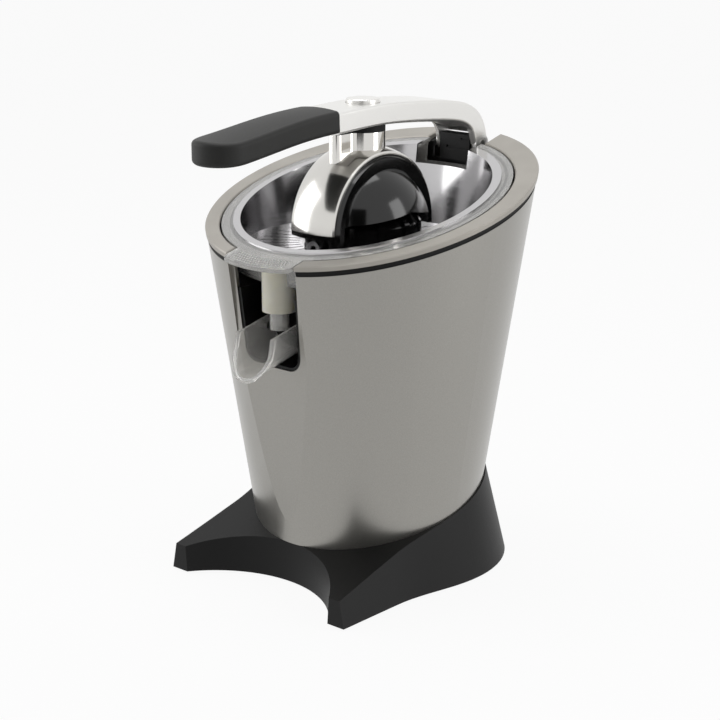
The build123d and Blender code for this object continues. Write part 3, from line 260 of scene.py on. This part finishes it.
PIECES = {
    "stand_black": ["base_stand", "base_plate"],
    "foot_rubber": ["rubber_feet", "cord_inlet", "shaft_seal"],
    "screw_steel": ["base_screws", "hub_plug", "hinge_pin", "spout_pivots", "gearbox_screws", "idler_axle",
                    "return_spring", "drive_shaft", "shaft_circlip"],
    "body_metal": ["body_shell"],
    "joint_black": ["shell_gasket", "micro_switch", "neck_pad"],
    "collar_metal": ["top_collar"],
    "chassis_plastic": ["inner_chassis", "hinge_tower"],
    "clear_tray": ["juice_tray", "outlet_nozzle", "drip_spout"],
    "bowl_steel": ["strainer_bowl"],
    "milky_outlet": ["juice_outlet"],
    "motor_steel": ["motor_stator", "motor_rotor"],
    "gearbox_plastic": ["gearbox_base", "gearbox_cover"],
    "arm_aluminium": ["lever_arm", "release_button"],
    "grip_plastic": ["lever_grip"],
    "polished_chrome": ["neck", "dome_cover"],
    "gloss_black": ["press_cup", "reamer"],
    "gear_plastic": ["thrust_carriage", "output_gear", "idler_gear", "switch_plunger"],
}


def dress(name, material):
    """Give every face of a CAD node one material."""
    data = bpy.data.objects[name].data
    data.materials.clear()
    data.materials.append(material)


for slot, names in PIECES.items():
    for name in names:
        dress(name, LOOKS[slot])
dress("dome_cover", dome_steel())        # the same slot as the neck, with a softer polish


# ---------------------------------------------------------------- small moulded features
def seat(node, x, y):
    """Point and normal where a drop from above meets a CAD node."""
    target = bpy.data.objects[node]
    back = target.matrix_world.inverted()
    down = (back.to_3x3() @ Vector((0, 0, -1))).normalized()
    hit, spot, normal, _ = target.ray_cast(back @ Vector((x, y, DROP_FROM)), down)
    if not hit:
        return None
    return target.matrix_world @ spot, (target.matrix_world.to_3x3() @ normal).normalized()


def lip_dots():
    """Frosted pimples in arched rows that give the thumb hold on the tray's front lip."""
    mesh = bmesh.new()
    count = int(2 * LIP_HALF / DOT_PITCH)
    for row in range(DOT_ROWS):
        arc = LIP_R - FIRST_ROW_IN - row * ROW_PITCH
        offset = DOT_PITCH / 2 if row % 2 else 0
        for k in range(count):
            x = (k - (count - 1) / 2) * DOT_PITCH + offset
            if abs(x) > LIP_HALF - DOT_EDGE:
                continue
            found = seat("juice_tray", x, -sqrt(arc ** 2 - x ** 2))
            if found is None or found[1].z < FLAT_ENOUGH:
                continue
            spot, normal = found
            turn = normal.to_track_quat("Z", "Y").to_matrix().to_4x4()
            flat = Matrix.Diagonal((1, 1, DOT_HEIGHT, 1))
            bmesh.ops.create_uvsphere(mesh, u_segments=10, v_segments=6, radius=DOT_R,
                                      matrix=Matrix.Translation(spot) @ turn @ flat)
    for face in mesh.faces:
        face.smooth = True
    data = bpy.data.meshes.new("lip_dots")
    mesh.to_mesh(data)
    mesh.free()
    dots = bpy.data.objects.new("lip_dots", data)
    bpy.context.collection.objects.link(dots)
    data.materials.append(clear_plastic("frosted_lip_plastic", "#f2f1ee", 0.4, 0.25))
    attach(dots, "housing")


def press_spring():
    """Round-wire return spring under the bearing carriage, wound in the box of the CAD spring, which it stands in
    for.
    """
    low, high = (Vector(corner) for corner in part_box("return_spring"))
    turn_r = (high.x - low.x) / 2 - WIRE_R
    centre = (low + high) / 2
    start, rise = low.z + WIRE_R, high.z - low.z - 2 * WIRE_R
    mesh = bmesh.new()
    rings = []
    for k in range(COILS * STEPS_PER_COIL + 1):
        angle = 2 * pi * k / STEPS_PER_COIL
        outward = Vector((cos(angle), sin(angle), 0))
        height = start + rise * k / (COILS * STEPS_PER_COIL)
        middle = Vector((centre.x, centre.y, height)) + outward * turn_r
        ring = []
        for j in range(WIRE_SIDES):
            side = 2 * pi * j / WIRE_SIDES
            skin = outward * cos(side) + Vector((0, 0, sin(side)))
            ring.append(mesh.verts.new(middle + WIRE_R * skin))
        rings.append(ring)
    for lower, upper in zip(rings, rings[1:]):
        for j in range(WIRE_SIDES):
            beside = (j + 1) % WIRE_SIDES
            mesh.faces.new((lower[j], lower[beside], upper[beside], upper[j])).smooth = True
    mesh.faces.new(rings[0][::-1])
    mesh.faces.new(rings[-1])
    bmesh.ops.recalc_face_normals(mesh, faces=mesh.faces)
    data = bpy.data.meshes.new("press_spring")
    mesh.to_mesh(data)
    mesh.free()
    spring = bpy.data.objects.new("press_spring", data)
    bpy.context.collection.objects.link(spring)
    data.materials.append(LOOKS["screw_steel"])
    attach(spring, "housing")
    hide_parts("return_spring")
    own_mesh(spring)


lip_dots()
press_spring()


# ---------------------------------------------------------------- stage, light and camera
def face(thing, place, target):
    """Stand a lamp, card or camera at a place, looking at a target."""
    thing.location = place
    thing.rotation_euler = (Vector(target) - Vector(place)).to_track_quat("-Z", "Y").to_euler()


def soft_box(name, place, target, size, power):
    """Wide soft lamp, which the camera doesn't see."""
    data = bpy.data.lights.new(name, "AREA")
    data.shape = "RECTANGLE"
    data.size, data.size_y = size
    data.energy = power
    lamp = bpy.data.objects.new(name, data)
    bpy.context.collection.objects.link(lamp)
    lamp.visible_camera = False
    face(lamp, place, target)


def background_rays(tree):
    """1 for the rays that meet the white background: the camera's, and those that metal and clear plastic send
    on. The other rays, which light and shade the surfaces, get 0."""
    rays = add(tree, "LightPath").outputs
    total = rays["Is Camera Ray"]
    for kind in ("Is Glossy Ray", "Is Transmission Ray"):
        total = add(tree, "Math", {0: total, 1: rays[kind]}, operation="ADD", use_clamp=True).outputs[0]
    return total


def floor():
    """Pale sweep under the object: it is seen white, and it keeps the object's soft shadow."""
    bpy.ops.mesh.primitive_plane_add(size=FLOOR_WIDTH, location=(0, 0, FLOOR_Z))
    plane = bpy.context.object
    plane.name = "floor"
    made = surface("pale_floor", "#e4e4e4", Roughness=0.8)
    tree = made.node_tree
    white = add(tree, "Emission", Strength=1.0)
    share = add(tree, "Math", {0: background_rays(tree)}, operation="MULTIPLY")
    share.inputs[1].default_value = WHITE_SHARE
    blend = add(tree, "MixShader", {0: share.outputs[0], 1: tree.nodes["Principled BSDF"].outputs["BSDF"],
                                    2: white.outputs["Emission"]})
    tree.links.new(blend.outputs["Shader"], tree.nodes["Material Output"].inputs["Surface"])
    plane.data.materials.append(made)


def card(name, place, target, size):
    """Matt dark card of the studio, which reflections alone meet. It gives polished metal a dark side."""
    bpy.ops.mesh.primitive_plane_add(size=1)
    panel = bpy.context.object
    panel.name = name
    panel.scale = (*size, 1)
    face(panel, place, target)
    panel.data.materials.append(surface("card_" + name, "#141414", Roughness=0.9))
    panel.visible_camera = False
    panel.visible_diffuse = False
    panel.visible_shadow = False


def studio():
    """White world that lights the object gently."""
    world = bpy.data.worlds.new("studio")
    bpy.context.scene.world = world
    world.use_nodes = True
    tree = world.node_tree
    light = tree.nodes["Background"]
    light.inputs["Color"].default_value = (1, 1, 1, 1)
    light.inputs["Strength"].default_value = WORLD_LIGHT
    white = add(tree, "Background", Color=(1, 1, 1, 1))
    blend = add(tree, "MixShader", {0: background_rays(tree), 1: light.outputs["Background"],
                                    2: white.outputs["Background"]})
    tree.links.new(blend.outputs["Shader"], tree.nodes["World Output"].inputs["Surface"])


floor()
studio()
soft_box("key_left", (-1.15, -0.75, 0.5), (0, 0, 0.15), (0.8, 1.3), 7)
soft_box("strip_right", (1.15, 0.45, 0.45), (0, 0, 0.15), (0.55, 1.3), 7)
soft_box("top", (-0.2, 0.0, 1.4), (0, 0, 0.2), (0.9, 0.9), 7)
card("behind_camera", (0.95, -1.45, 0.5), (0, 0, 0.15), (0.85, 1.7))

camera_data = bpy.data.cameras.new("camera")
camera_data.lens = 89.67
camera_data.sensor_width = 36
camera = bpy.data.objects.new("camera", camera_data)
bpy.context.collection.objects.link(camera)
face(camera, (0.7703, -0.8775, 0.4691), (-0.0033, -0.0030, 0.1373))
bpy.context.scene.camera = camera
bpy.context.scene.view_settings.view_transform = "Standard"
